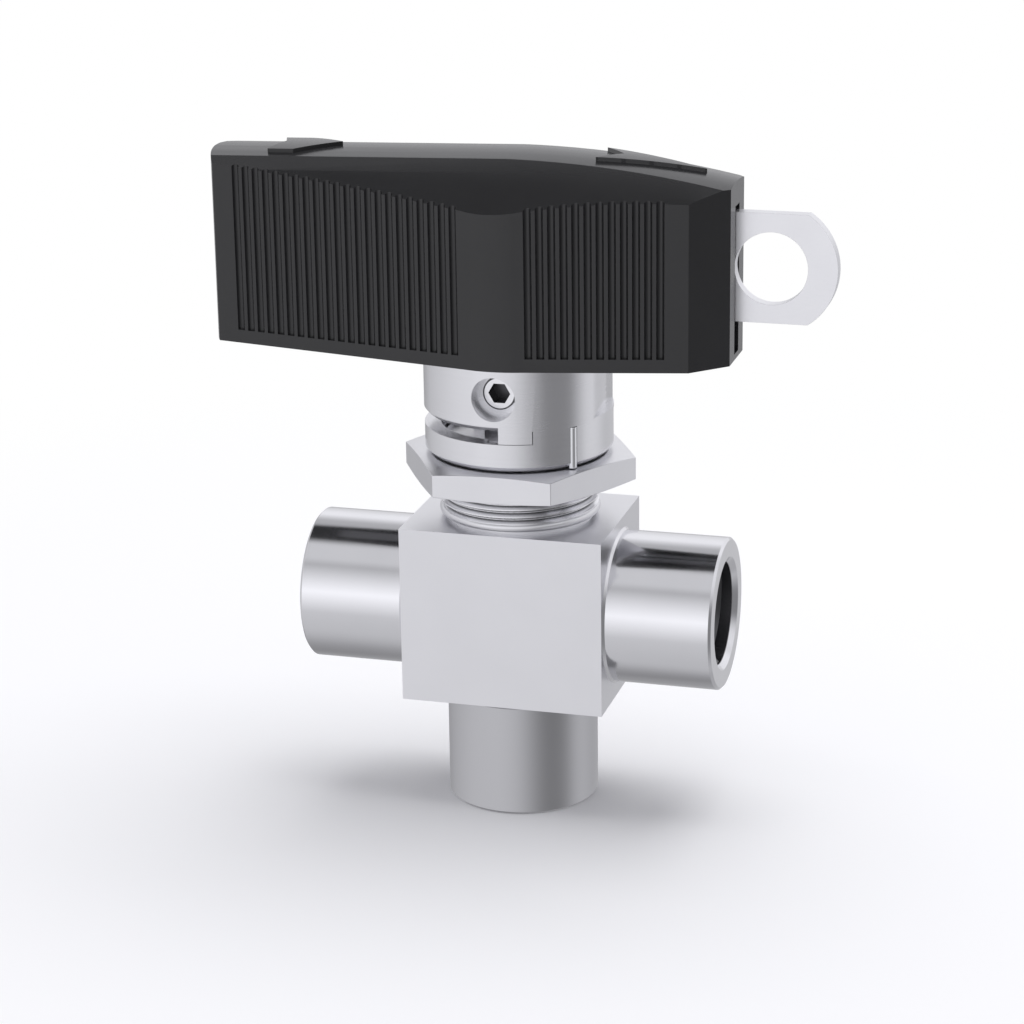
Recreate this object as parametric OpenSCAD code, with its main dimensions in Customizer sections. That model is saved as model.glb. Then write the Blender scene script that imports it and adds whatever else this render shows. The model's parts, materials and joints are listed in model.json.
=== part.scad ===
// Three-way ball valve: bar-stock body with three threaded ports, panel-mount neck,
// stop ring, lever with a fluted moulded grip, and a sprung latch plate for a padlock.
// Origin: centre of the bottom port's mouth. +Z runs up the stem, +X along the right port.

/* [Body block] */
// Length of the block along the side ports
block_l = 25; // [24:0.1:30]
// Width of the block
block_w = 19.3; // [18.8:0.1:24]
// Height of the block
block_h = 21.8; // [21:0.1:24]
// Height of the port axis above the bottom port's mouth
axis_z = 25; // [24:0.1:32]

/* [Ports] */
// Outside diameter of the three round port ends
port_d = 18.5; // [17:0.1:19]
// Distance between the two side port faces
side_span = 51.2; // [48:0.1:60]
// Bore diameter of the port threads
port_bore_d = 12.5; // [11:0.1:13.4]
// Depth of the threaded bore from the port face
port_bore_l = 13.4; // [11:0.1:14]
// Diameter of the countersink at the port face
port_mouth_d = 13.8; // [12.6:0.1:15]
// Break on the outer edge of each port
port_edge = 0.3; // [0.1:0.1:0.8]
// Fillet where a port leaves the block
port_root = 0.3; // [0.1:0.1:0.6]
// Angle of the drill point at the bottom of each bore, from the face plane
drill_angle = 31; // [20:1:45]

/* [Neck] */
// Root diameter of the neck's thread
neck_root_d = 18.1; // [17.6:0.1:18.6]
// Height of the neck above the block
neck_h = 8.5; // [8.5:0.1:14]
// Diameter of the relief groove under the thread
neck_relief_d = 17.7; // [17:0.1:18]
// Height of the relief groove
neck_relief_h = 0.55; // [0.3:0.05:1.2]
// Height of the rounded bead where the thread ends
neck_bead_h = 1.1; // [0.6:0.05:1.2]
// Diameter of the bead
neck_bead_d = 19.5; // [18.8:0.1:19.6]

/* [Panel nut] */
// Width across flats
nut_af = 25; // [23:0.1:30]
// Thickness
nut_t = 3.4; // [2:0.1:5]
// Gap between the nut and the stop ring above it
nut_gap = 0.2; // [0.1:0.1:2]
// Drop of the chamfer at the corners
nut_chamfer = 0.35; // [0.1:0.05:0.8]

/* [Stop ring] */
// Outside diameter
ring_d = 22.7; // [21:0.1:23]
// Height of the closed lower rim
ring_rim_h = 3.4; // [3:0.1:5]
// Height of the stop wall above the rim
stop_h = 1.6; // [1:0.1:2.4]
// Thickness of the clamped inner flange
ring_flange_t = 0.9; // [0.6:0.1:1.4]
// Bore of the rim above the flange
ring_bore_d = 18.8; // [18.4:0.1:19.4]
// Inside diameter of the stop wall
stop_bore_d = 19.8; // [19.4:0.1:20.4]
// Break on the lower outer edge
ring_edge = 0.6; // [0.1:0.1:0.8]
// Width of the latch notches
notch_w = 2.1; // [1.9:0.1:3]
// Depth of the latch notches into the rim
notch_depth = 1.1; // [0.6:0.1:1.2]
// Diameter of the dowel let into the ring's side
dowel_d = 1.1; // [0.8:0.1:1.2]
// Bearing of the dowel, from the front towards the right port
dowel_at = 50; // [40:1:60]

/* [Hub] */
// Outside diameter of the hub
hub_d = 22.8; // [22:0.1:23.6]
// Height of the hub below the grip
hub_h = 7.4; // [7:0.1:10]
// Distance of the side flat from the stem axis
hub_flat = 10.45; // [10:0.05:11]
// Height of the ledge under the side flat
hub_ledge = 0.35; // [0.2:0.05:1]
// Break on the hub's lower edge, over the window
hub_edge = 0.4; // [0.1:0.1:0.6]
// Angle that the lever turns between its stops
turn = 180; // [90:90:180]
// Bearing where the stop lug begins, from the front towards the right port
lug_from = 3.2; // [0:0.1:10]
// Angle that the stop lug covers
lug_span = 20.1; // [12:0.1:24]
// Diameter of the set screws
set_screw_d = 4; // [3:0.5:5]
// Length of the set screws
set_screw_l = 5.8; // [5:0.1:6.6]
// Width across flats of the set screws' socket
set_screw_key = 2.3; // [1.5:0.1:2.5]
// Height of the set screws above the hub's underside
set_screw_z = 3.75; // [3.4:0.05:4.6]
// Diameter of the counterbore round each set screw
set_screw_cb_d = 5.3; // [4.6:0.1:6]

/* [Grip] */
// Reach of the grip's long end from the stem axis
grip_long = 35.8; // [30:0.1:44]
// Half width at the long end
grip_long_w = 5.8; // [5.4:0.1:7]
// Radius of the round middle
grip_mid_r = 12.35; // [12:0.05:13.5]
// Distance of the front corners from the stem axis
grip_corner_x = 22.5; // [21:0.1:26]
// Half width at the front corners
grip_corner_w = 7.75; // [7:0.05:9]
// Reach of the grip's short end
grip_short = 26.5; // [25.8:0.1:26.6]
// Half width of the short end's face
grip_short_w = 3.7; // [3.4:0.1:5]
// Bulge of the long end's face
grip_bulge = 1.5; // [0.4:0.1:2.4]
// Height of the grip over the stem
grip_h = 23.9; // [23:0.1:27]
// Slope of the crest towards the long end
grip_fall = 1.7; // [0:0.1:3]
// Radius of the crest's curve towards the short end
grip_arc_r = 131; // [100:1:200]
// Radius of the crowned top, across the grip
grip_crown_r = 20; // [17:0.5:40]
// Half width of the crowned top, out to the crease
grip_crease = 4.4; // [3.6:0.1:5]
// Slope of the shoulders at the crease, from level
grip_slope = 24; // [20:0.5:28]
// Radius of the shoulders
grip_shoulder_r = 34; // [26:1:40]
// Wall of the moulded cover
grip_wall = 2.2; // [1.6:0.1:2.6]

/* [Grip flutes] */
// Spacing of the flutes
flute_pitch = 1.35; // [1.2:0.05:2]
// Diameter of the round flutes
flute_d = 0.92; // [0.7:0.02:1]
// Depth of each flute
flute_depth = 0.45; // [0.2:0.05:0.5]
// Height of the plain band below the flutes
flute_base = 1.6; // [1:0.1:3]
// Distance from the stem axis to the first flute towards the long end
flute_long_from = 4.3; // [3.8:0.1:6]
// Distance from the stem axis to the first flute towards the short end
flute_short_from = 4.5; // [3.8:0.1:6]
// Plain width left at the outer end of each fluted panel
flute_margin = 3.1; // [2:0.1:6]

/* [Latch] */
// Thickness of the latch plate
latch_t = 1.6; // [1.2:0.1:2]
// Width of the latch tab
latch_w = 13; // [11:0.1:13.4]
// Distance of the padlock hole from the stem axis
latch_hole_x = 30.7; // [30.6:0.1:33]
// Height of the padlock hole above the grip's underside
latch_hole_z = 11.15; // [10.6:0.05:11.6]
// Diameter of the padlock hole
latch_hole_d = 8.6; // [6:0.1:9.4]
// Radius of the tab's round end
latch_end_r = 7.8; // [7.2:0.1:9]
// Travel when the tab is pushed in
latch_travel = 2; // [1:0.1:2.2]
// Outside diameter of the return spring
spring_d = 4; // [3:0.1:4.2]
// Wire diameter of the return spring
spring_wire = 0.5; // [0.3:0.05:0.7]
// Number of turns in the return spring
spring_turns = 7; // [5:1:8]

/* [Ball and packing] */
// Diameter of the ball
ball_d = 10.4; // [9.6:0.1:10.6]
// Diameter of the flow passage
orifice_d = 4.75; // [3.5:0.05:5]
// Diameter of the stem
stem_d = 6.35; // [5.8:0.05:6.6]
// Width across the flats at the stem's top
stem_flats = 5.2; // [4.8:0.1:5.6]
// Diameter of the packing chamber and of the bore above it
chamber_d = 14.6; // [14.2:0.1:15.2]
// Packing left below the ball
packing_floor = 1.6; // [1.2:0.1:2]
// Packing left above the ball
packing_roof = 1.75; // [1.2:0.05:2.4]
// Diameter of the side discs
disc_d = 7.2; // [6.6:0.1:7.6]
// Thickness of the gland
gland_t = 2.3; // [1.8:0.1:2.6]
// Thickness of each coned spring
cone_t = 0.55; // [0.4:0.05:0.7]
// Height of each spring's cone
cone_rise = 0.4; // [0.2:0.05:0.5]
// Width across flats of the packing bolt's hexagon
bolt_af = 10; // [9.6:0.1:10.2]
// Diameter of the packing bolt's flange
bolt_flange_d = 17.8; // [17:0.1:18.2]
// Thickness of the packing bolt's flange
bolt_flange_t = 0.9; // [0.6:0.1:1.2]
// Height of the packing bolt's hexagon
bolt_hex_h = 3.5; // [3:0.1:3.8]
// Wall of the stem bearing
bearing_wall = 0.85; // [0.6:0.05:1]

/* [Fits] */
// Radial clearance of a running fit
run_gap = 0.04; // [0.02:0.01:0.08]
// Gap between the ball and its packing
seat_gap = 0.05; // [0.03:0.01:0.1]
// Gap between pieces that are assembled and stay put
seat_fit = 0.03; // [0.01:0.01:0.06]
// Gap between flat faces that slide past each other
slide_gap = 0.08; // [0.05:0.01:0.15]
// Clearance each side of the latch plate
latch_gap = 0.15; // [0.1:0.01:0.2]
// Angle left at each stop
stop_gap = 0.5; // [0.3:0.1:1]

/* [Hidden] */
$fn = 96;
// Overlap of shapes that are joined
eps = 0.01;
// How far a cutting shape runs past what it cuts
over = 1;
// Free space round a piece that turns or slides past another
free_gap = 0.3;

steel = [0.80, 0.80, 0.81];
dark_plastic = [0.16, 0.16, 0.17];
white_plastic = [0.93, 0.93, 0.90];
bearing_plastic = [0.78, 0.70, 0.56];

port_r = port_d / 2;
bore_r = port_bore_d / 2;
mouth_r = port_mouth_d / 2;
orifice_r = orifice_d / 2;
chamber_r = chamber_d / 2;
ball_r = ball_d / 2;
stem_r = stem_d / 2;
side_x = side_span / 2;
block_top = axis_z + block_h / 2;
chamber_floor = axis_z - ball_r - packing_floor;

neck_r = neck_root_d / 2;
neck_top = block_top + neck_h;
nut_top = neck_top + seat_fit - nut_gap;
nut_z = nut_top - nut_t;
nut_corner_r = nut_af / 2 / cos(30);
nut_face_r = nut_af / 2 - nut_chamfer;

ring_r = ring_d / 2;
ring_z = neck_top + seat_fit;
rim_top = ring_z + ring_rim_h;
stop_top = rim_top + stop_h;
ring_bore_r = ring_bore_d / 2;
stop_bore_r = stop_bore_d / 2;
ring_centring_gap = 0.2;
flange_bore_r = chamber_r + ring_centring_gap;
dowel_r = dowel_d / 2;
dowel_proud = 0.2;
dowel_x = ring_r + dowel_proud - dowel_r;

hub_r = hub_d / 2;
hub_z = stop_top + slide_gap;
grip_z = hub_z + hub_h;
hub_spigot_h = 0.35;
hub_top = grip_z + hub_spigot_h;
lug_gap = 0.4;
lug_in_r = ring_bore_r + lug_gap;
lug_z = rim_top + slide_gap;
lug_to = lug_from + lug_span;
wall_from = lug_to + stop_gap;
wall_to = lug_from + turn - stop_gap;
screw_z = hub_z + set_screw_z;
screw_in = stem_flats / 2 + seat_fit;
screw_out = screw_in + set_screw_l;
screw_proud = 0.6;
screw_cb_y = screw_out - screw_proud;
screw_socket_l = 2.2;

packing_top = axis_z + ball_r + packing_roof;
gland_z = packing_top + seat_fit;
cone_z = gland_z + gland_t + seat_fit;
cone_stack = 2 * (cone_t + cone_rise) + seat_fit;
bolt_z = cone_z + cone_stack + seat_fit;
flange_z = ring_z + ring_flange_t + seat_fit;
hex_z = flange_z + bolt_flange_t;
bolt_top = hex_z + bolt_hex_h;
hex_corner_r = bolt_af / 2 / cos(30);
bearing_r = stem_r + run_gap + bearing_wall;
bearing_floor = 2;
bearing_z = bolt_z + bearing_floor;
bearing_sunk = 0.2;
bearing_top = bolt_top - bearing_sunk;
cone_bore_gap = 0.4;

side_ring_wall = 0.85;
side_ring_t = 0.55;
side_ring_gap = 0.1;
side_ring_r = orifice_r + side_ring_wall;
disc_seat_wall = 0.4;
disc_seat_x = ball_r + disc_seat_wall;
ring_seat_x = disc_seat_x - side_ring_t;

ground_lip = 0.5;
ground_h = 0.9;
ground_wall = 0.65;
ground_gap = 0.1;
ground_z = bolt_z + ground_lip;

latch_half = latch_t / 2;
slot_half = latch_half + latch_gap;
latch_z = grip_z + latch_hole_z;
latch_low = latch_z - latch_w / 2;
latch_high = latch_z + latch_w / 2;
nose_gap = 0.25;
nose_z = hex_z + free_gap;
nose_x = sqrt(pow(ring_bore_r - nose_gap, 2) - pow(latch_half, 2));
nose_back = hex_corner_r + free_gap + latch_travel;
slot_wall = 0.9;
slot_back = stem_r + slot_wall;
leg_back = slot_back + latch_gap + latch_travel;
leg_inset = 1.2;
leg_x = hub_flat - leg_inset;
shoulder_x = 13;
nib_h = 1.8;
nib_l = 1.8;
spring_drop = 4.3;
spring_z = latch_high - spring_drop;
spring_r = spring_d / 2;
spring_gap = 0.4;
guide_pin_r = 1.1;
guide_pin_in = 3.4;
guide_pin_out = 3.4;
stop_pin_r = 1;
stop_pin_x = 19;
band_h = 5.4;
band_top = latch_low + band_h;
stop_pin_z = latch_low + band_h / 2;

arm_half = 3.5;
arm_cap = 0.45;
arm_top = latch_high + arm_cap;
arm_end_gap = 3.5;
arm_long = grip_long - grip_wall - arm_end_gap;
arm_short = grip_short - grip_wall;
arm_boss_r = 9;
arm_boss_h = 4.5;
arm_boss_top = hub_top + arm_boss_h;
stem_proud = 3;
stem_top = arm_boss_top + stem_proud;
flats_rise = 1.2;
flats_z = hub_z + flats_rise;

grip_top = grip_z + grip_h;
grip_blend = 0.04;
grip_over = 10;
grip_web = 1.2;
crown_tilts = [5, 10];
shoulder_tilts = [grip_slope + 2, grip_slope + 7, grip_slope + 12];
core_h = 12;
core_ends = [arm_boss_r + 3, 17];
core_split = [arm_boss_r + 7.4, arm_boss_r + 8.6];
core_long_end = 24;
hub_cap_gap = 0.1;
end_slot_gap = 0.2;
end_slot_floor = 0.7;

// Places a shape at a bearing, measured from the front towards the right port
module at_bearing(angle) {
    rotate([0, 0, angle - 90])
        children();
}

// Ring sector between two bearings
module sector(from, to, inner, outer, z, h) {
    translate([0, 0, z])
        rotate([0, 0, from - 90])
            rotate_extrude(angle = to - from)
                translate([inner, 0])
                    square([outer - inner, h]);
}

// Plain tube along Z
module tube(outer, inner, z, h) {
    translate([0, 0, z])
        difference() {
            cylinder(r = outer, h = h);
            translate([0, 0, -eps])
                cylinder(r = inner, h = h + 2 * eps);
        }
}

// Turns a shape that was built up from the origin along Z to run out along X
module along_x(side = 1) {
    rotate([0, 90 * side, 0])
        children();
}

// Outside of one port end, from the port axis crossing to its face
module port_end(reach, face) {
    cylinder(r = port_r, h = reach - port_edge);
    translate([0, 0, reach - port_edge])
        cylinder(r1 = port_r, r2 = port_r - port_edge, h = port_edge);
    translate([0, 0, face])
        cylinder(r1 = port_r + port_root, r2 = port_r, h = port_root);
}

// Threaded bore, countersink, drill point and passage of one port
module port_bore(reach) {
    sink = mouth_r - bore_r;
    point_h = (bore_r - orifice_r) * tan(drill_angle);
    translate([0, 0, reach - sink])
        cylinder(r1 = bore_r, r2 = mouth_r + eps, h = sink + eps);
    translate([0, 0, reach - port_bore_l])
        cylinder(r = bore_r, h = port_bore_l);
    translate([0, 0, reach - port_bore_l - point_h])
        cylinder(r1 = orifice_r, r2 = bore_r, h = point_h);
    cylinder(r = orifice_r, h = reach - port_bore_l);
}

module valve_body() {
    color(steel)
    difference() {
        union() {
            translate([-block_l / 2, -block_w / 2, axis_z - block_h / 2])
                cube([block_l, block_w, block_h]);
            translate([0, 0, axis_z]) {
                along_x()
                    port_end(side_x, block_l / 2);
                along_x(-1)
                    port_end(side_x, block_l / 2);
                rotate([180, 0, 0])
                    port_end(axis_z, block_h / 2);
            }
            neck();
        }
        translate([0, 0, axis_z]) {
            along_x()
                port_bore(side_x);
            along_x(-1)
                port_bore(side_x);
            rotate([180, 0, 0])
                port_bore(axis_z);
        }
        translate([0, 0, chamber_floor])
            cylinder(r = chamber_r, h = neck_top - chamber_floor + eps);
    }
}

// Neck with its relief groove and the rounded bead where the thread ends
module neck() {
    bead_r = neck_bead_h / 2;
    bead_z = block_top + neck_relief_h + bead_r;
    translate([0, 0, block_top - eps])
        cylinder(d = neck_relief_d, h = neck_relief_h + bead_r + eps);
    translate([0, 0, bead_z])
        rotate_extrude()
            translate([neck_bead_d / 2 - bead_r, 0])
                circle(r = bead_r);
    translate([0, 0, bead_z - bead_r])
        cylinder(r = neck_bead_d / 2 - bead_r, h = neck_bead_h);
    translate([0, 0, bead_z])
        cylinder(r = neck_r, h = neck_top - bead_z);
}

module panel_nut() {
    bore = neck_r + seat_fit;
    lead = 0.5;
    chamfer_r = nut_corner_r + over;
    slope = nut_chamfer / (nut_corner_r - nut_face_r);
    fall = (chamfer_r - nut_face_r) * slope;
    color(steel)
    translate([0, 0, nut_z])
    intersection() {
        cylinder(r = nut_corner_r, h = nut_t, $fn = 6);
        rotate_extrude()
            polygon([[bore + lead, 0], [nut_face_r, 0], [chamfer_r, fall],
                     [chamfer_r, nut_t - fall], [nut_face_r, nut_t], [bore + lead, nut_t],
                     [bore, nut_t - lead], [bore, lead]]);
    }
}

// Ring whose upper wall is cut away over a window, so that its two ends stop the hub's lug
module stop_ring() {
    flange_top = ring_z + ring_flange_t;
    color(steel)
    difference() {
        rotate_extrude()
            polygon([[flange_bore_r, ring_z], [ring_r - ring_edge, ring_z],
                     [ring_r, ring_z + ring_edge], [ring_r, stop_top],
                     [stop_bore_r, stop_top], [stop_bore_r, rim_top],
                     [ring_bore_r, rim_top], [ring_bore_r, flange_top],
                     [flange_bore_r, flange_top]]);
        sector(wall_to, 360 + wall_from, stop_bore_r - over, ring_r + over,
               rim_top, stop_h + over);
        for (angle = [90 : -90 : 90 - turn])
            at_bearing(angle)
                translate([ring_bore_r - over, -notch_w / 2, nose_z - nose_gap])
                    cube([notch_depth + over, notch_w, stop_top - nose_z + over]);
        at_bearing(dowel_at)
            translate([dowel_x, 0, ring_z - eps])
                cylinder(r = dowel_r + seat_fit, h = stop_top - ring_z + over);
    }
}

module ring_dowel() {
    color(steel)
    at_bearing(dowel_at)
        translate([dowel_x, 0, ring_z - nut_gap / 2])
            cylinder(r = dowel_r, h = stop_top - ring_z + nut_gap / 2);
}

// What the ball, the flow passages, the side rings and the side discs take out of the packing
module packing_cut() {
    translate([0, 0, axis_z]) {
        sphere(r = ball_r + seat_gap);
        rotate([0, 90, 0])
            cylinder(r = orifice_r, h = 2 * (chamber_r + over), center = true);
        for (side = [-1, 1])
            along_x(side) {
                translate([0, 0, ring_seat_x - seat_fit])
                    cylinder(r = side_ring_r + seat_fit, h = side_ring_t + seat_fit);
                translate([0, 0, disc_seat_x - seat_fit])
                    cylinder(d = disc_d + 2 * seat_fit, h = chamber_r);
            }
    }
}

module lower_packing() {
    z = chamber_floor + seat_fit;
    color(white_plastic)
    difference() {
        translate([0, 0, z])
            cylinder(r = chamber_r - seat_fit, h = axis_z - seat_fit - z);
        packing_cut();
        translate([0, 0, z - eps])
            cylinder(r = orifice_r, h = axis_z - z);
    }
}

module upper_packing() {
    z = axis_z + seat_fit;
    color(white_plastic)
    difference() {
        translate([0, 0, z])
            cylinder(r = chamber_r - seat_fit, h = packing_top - z);
        packing_cut();
        translate([0, 0, z])
            cylinder(r = stem_r + run_gap, h = packing_top);
    }
}

// Disc behind the packing, with its back curved to the chamber's wall
module side_disc(side) {
    color(steel)
    difference() {
        intersection() {
            translate([0, 0, axis_z])
                along_x(side)
                    translate([0, 0, disc_seat_x])
                        cylinder(d = disc_d, h = chamber_r);
            translate([0, 0, axis_z - disc_d])
                cylinder(r = chamber_r - seat_fit, h = 2 * disc_d);
        }
        translate([0, 0, axis_z])
            along_x(side)
                cylinder(r = orifice_r, h = chamber_r + over);
    }
}

module side_ring(side) {
    color(steel)
    translate([0, 0, axis_z])
        along_x(side)
            tube(side_ring_r, orifice_r + side_ring_gap, ring_seat_x, side_ring_t - seat_fit);
}

module left_side_disc() {
    side_disc(-1);
}

module right_side_disc() {
    side_disc(1);
}

module left_side_ring() {
    side_ring(-1);
}

module right_side_ring() {
    side_ring(1);
}

module packing_gland() {
    color(steel)
    tube(chamber_r - 2 * seat_fit, stem_r + run_gap, gland_z, gland_t);
}

// Two coned disc springs, wide edges together
module gland_springs() {
    outer = chamber_r - 3 * seat_fit;
    inner = stem_r + cone_bore_gap;
    color(steel)
    for (flip = [0, 1])
        translate([0, 0, cone_z + flip * cone_stack])
            rotate([180 * flip, 0, 0])
                rotate_extrude()
                    polygon([[inner, 0], [outer, cone_rise],
                             [outer, cone_rise + cone_t], [inner, cone_t]]);
}

// Open ring that keeps the stem and the packing bolt in electrical contact
module ground_spring() {
    gap_angle = 30;
    color(steel)
    sector(gap_angle, 360, stem_r + run_gap, stem_r + ground_wall,
           ground_z + ground_gap, ground_h - 2 * ground_gap);
}

module stem_bearing() {
    color(bearing_plastic)
    tube(bearing_r, stem_r + run_gap, bearing_z + seat_fit, bearing_top - bearing_z);
}

module packing_bolt() {
    color(steel)
    difference() {
        union() {
            translate([0, 0, bolt_z])
                cylinder(r = chamber_r - seat_fit, h = flange_z + eps - bolt_z);
            translate([0, 0, flange_z])
                cylinder(d = bolt_flange_d, h = bolt_flange_t);
            translate([0, 0, hex_z - eps])
                cylinder(r = hex_corner_r, h = bolt_hex_h + eps, $fn = 6);
        }
        translate([0, 0, bolt_z - eps])
            cylinder(r = stem_r + 2 * run_gap, h = bolt_top);
        translate([0, 0, ground_z])
            cylinder(r = stem_r + ground_wall + ground_gap, h = ground_h);
        translate([0, 0, bearing_z])
            cylinder(r = bearing_r + seat_fit, h = bolt_top);
    }
}

// Outline of the stem's flatted top, or of the hole that takes it
module stem_section(gap, z, h) {
    intersection() {
        translate([0, 0, z])
            cylinder(r = stem_r + gap, h = h);
        translate([-stem_d, -stem_flats / 2 - gap, z - over])
            cube([2 * stem_d, stem_flats + 2 * gap, h + 2 * over]);
    }
}

module ball_stem() {
    color(steel)
    difference() {
        union() {
            translate([0, 0, axis_z])
                sphere(r = ball_r);
            translate([0, 0, axis_z])
                cylinder(r = stem_r, h = flats_z - axis_z);
            stem_section(0, flats_z - eps, stem_top - flats_z);
        }
        translate([0, 0, axis_z]) {
            along_x()
                cylinder(r = orifice_r, h = ball_d);
            rotate([180, 0, 0])
                cylinder(r = orifice_r, h = ball_d);
            sphere(r = orifice_r);
        }
    }
}

// Hub with its stop lug, side flat and the arm that carries the grip
module handle_hub() {
    spring_box = spring_d + 2 * spring_gap;
    color(steel)
    difference() {
        union() {
            translate([0, 0, hub_z])
                cylinder(r = hub_r, h = hub_top - hub_z);
            sector(lug_from, lug_to, lug_in_r, hub_r, lug_z, hub_z - lug_z + eps);
            translate([0, 0, hub_top - eps])
                cylinder(r = arm_boss_r, h = arm_boss_top - hub_top);
            translate([-arm_long, -arm_half, hub_top - eps])
                cube([arm_long + arm_short, 2 * arm_half, arm_top - hub_top]);
        }
        translate([hub_flat, -hub_r, hub_z + hub_ledge])
            cube([hub_r, 2 * hub_r, grip_z - hub_z - hub_ledge]);
        window_chamfer();
        stem_section(run_gap, lug_z - over, stem_top + seat_fit + over - lug_z);
        translate([0, 0, lug_z - eps])
            cylinder(r = stem_r + run_gap, h = flats_z + seat_fit - lug_z);
        translate([0, 0, lug_z - eps])
            cylinder(r = hex_corner_r + free_gap, h = bolt_top + free_gap - lug_z);
        for (side = [-1, 1])
            rotate([90 * side, 0, 0]) {
                translate([0, side * screw_z, 0])
                    cylinder(d = set_screw_d + 2 * seat_fit, h = hub_r);
                translate([0, side * screw_z, screw_cb_y])
                    cylinder(d = set_screw_cb_d, h = hub_r);
            }
        translate([slot_back, -slot_half, lug_z - over])
            cube([leg_x + latch_gap - slot_back, 2 * slot_half, arm_top]);
        translate([slot_back, -slot_half, grip_z])
            cube([arm_short, 2 * slot_half, arm_top - grip_z + over]);
        translate([slot_back, -spring_box / 2, spring_z - spring_box / 2])
            cube([shoulder_x + 2 * spring_gap - slot_back, spring_box, spring_box]);
        translate([slot_back - guide_pin_in, 0, spring_z])
            along_x()
                cylinder(r = guide_pin_r + seat_fit, h = guide_pin_in + over);
        translate([stop_pin_x, arm_half + over, stop_pin_z])
            rotate([90, 0, 0])
                cylinder(r = stop_pin_r + seat_fit, h = 2 * (arm_half + over));
        lightening_pockets();
    }
}

// Break on the hub's lower edge where the window leaves it open
module window_chamfer() {
    from = wall_to + 2 * stop_gap;
    translate([0, 0, hub_z])
        rotate([0, 0, from - 90])
            rotate_extrude(angle = 360 + lug_from - from)
                polygon([[hub_r - hub_edge, -eps], [hub_r + over, -eps],
                         [hub_r + over, hub_edge + over], [hub_r, hub_edge]]);
}

// Pockets cast into both sides of the arm's long end, with ribs between them
module lightening_pockets() {
    cells = 2;
    rib = 2;
    web = 1;
    from = arm_boss_r + rib;
    cell_l = (arm_long - from - rib * cells) / cells;
    for (side = [0, 1])
        for (i = [0 : cells - 1])
            mirror([0, side, 0])
                translate([-from - cell_l - i * (cell_l + rib), web, hub_top + rib])
                    cube([cell_l, arm_half, arm_top - hub_top - 2 * rib]);
}

module hub_set_screws() {
    color(steel)
    for (side = [-1, 1])
        translate([0, 0, screw_z])
            rotate([-90 * side, 0, 0])
                translate([0, 0, screw_in])
                    difference() {
                        cylinder(d = set_screw_d, h = set_screw_l);
                        translate([0, 0, set_screw_l - screw_socket_l])
                            cylinder(d = set_screw_key / cos(30), h = screw_socket_l + over,
                                     $fn = 6);
                    }
}

// Point where a wall from an outside corner meets the grip's round middle. The wall cuts
// in by a hair, so that it meets the round in a clean edge.
function touch(p, side) =
    let (r = grip_mid_r - grip_blend, a = atan2(p[1], p[0]), b = acos(r / norm(p)))
    [r * cos(a + side * b), r * sin(a + side * b)];

long_corner = [-grip_long, -grip_long_w];
short_corner = [grip_corner_x, -grip_corner_w];
long_touch = touch(long_corner, 1);
short_touch = touch(short_corner, -1);

// The same outline on the other side of the long axis
function across(p) = [p[0], -p[1]];

// Plan of the grip
module grip_plan() {
    front = [long_corner, long_touch, short_touch, short_corner, [grip_short, -grip_short_w]];
    back = [for (i = [len(front) - 1 : -1 : 0]) across(front[i])];
    end_r = (pow(grip_long_w, 2) + pow(grip_bulge, 2)) / (2 * grip_bulge);
    polygon(concat(front, back));
    circle(r = grip_mid_r);
    intersection() {
        translate([end_r - grip_long - grip_bulge, 0])
            circle(r = end_r);
        translate([-grip_long - grip_bulge - over, -grip_long_w])
            square([grip_bulge + 2 * over, 2 * grip_long_w]);
    }
}

// Everything under the crest's line, in a plane tilted about a line along the grip
module under_crest(tilt) {
    arc_r = grip_arc_r / cos(tilt);
    reach = grip_long + grip_over;
    deep = grip_h + grip_over;
    rotate([90, 0, 0])
        translate([0, 0, -grip_long])
            linear_extrude(height = 2 * grip_long) {
                polygon([[0, -deep], [0, 0], [-reach, -reach * tan(grip_fall) * cos(tilt)],
                         [-reach, -deep]]);
                intersection() {
                    translate([0, -arc_r])
                        circle(r = arc_r);
                    translate([-eps, -deep])
                        square([grip_short + grip_over, deep + over]);
                }
            }
}

// Everything under one facet of the grip's top, which touches the round section at a tilt
module under_facet(tilt, y, z) {
    translate([0, y, z])
        rotate([-tilt, 0, 0])
            under_crest(tilt);
}

// Crowned top between two rounded shoulders, both built from facets along the grip
module under_top() {
    crease_z = grip_top - grip_crown_r + sqrt(pow(grip_crown_r, 2) - pow(grip_crease, 2));
    middle_y = grip_crease - grip_shoulder_r * sin(grip_slope);
    middle_z = crease_z - grip_shoulder_r * cos(grip_slope);
    intersection() {
        under_facet(0, 0, grip_top);
        intersection_for (side = [-1, 1])
            intersection_for (tilt = crown_tilts)
                under_facet(side * tilt, side * grip_crown_r * sin(tilt),
                            grip_top - grip_crown_r * (1 - cos(tilt)));
        intersection_for (side = [-1, 1])
            intersection_for (tilt = shoulder_tilts)
                under_facet(side * tilt, side * (middle_y + grip_shoulder_r * sin(tilt)),
                            middle_z + grip_shoulder_r * cos(tilt));
    }
}

// Outer form of the grip
module grip_form() {
    intersection() {
        translate([0, 0, grip_z])
            linear_extrude(height = grip_h + over)
                grip_plan();
        under_top();
    }
}

// Row of flutes cut square to the wall that runs from one plan point to another
module flute_row(from, to, first, last) {
    dir = to - from;
    angle = atan2(dir[1], dir[0]);
    count = floor((last - first) / flute_pitch + 0.5);
    for (i = [0 : count])
        let (x = first + i * flute_pitch * sign(last - first))
        let (y = from[1] + (x - from[0]) * dir[1] / dir[0])
        translate([x, y, grip_z + flute_base])
            rotate([0, 0, angle])
                translate([0, flute_depth - flute_d / 2, 0])
                    cylinder(d = flute_d, h = grip_h);
}

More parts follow.
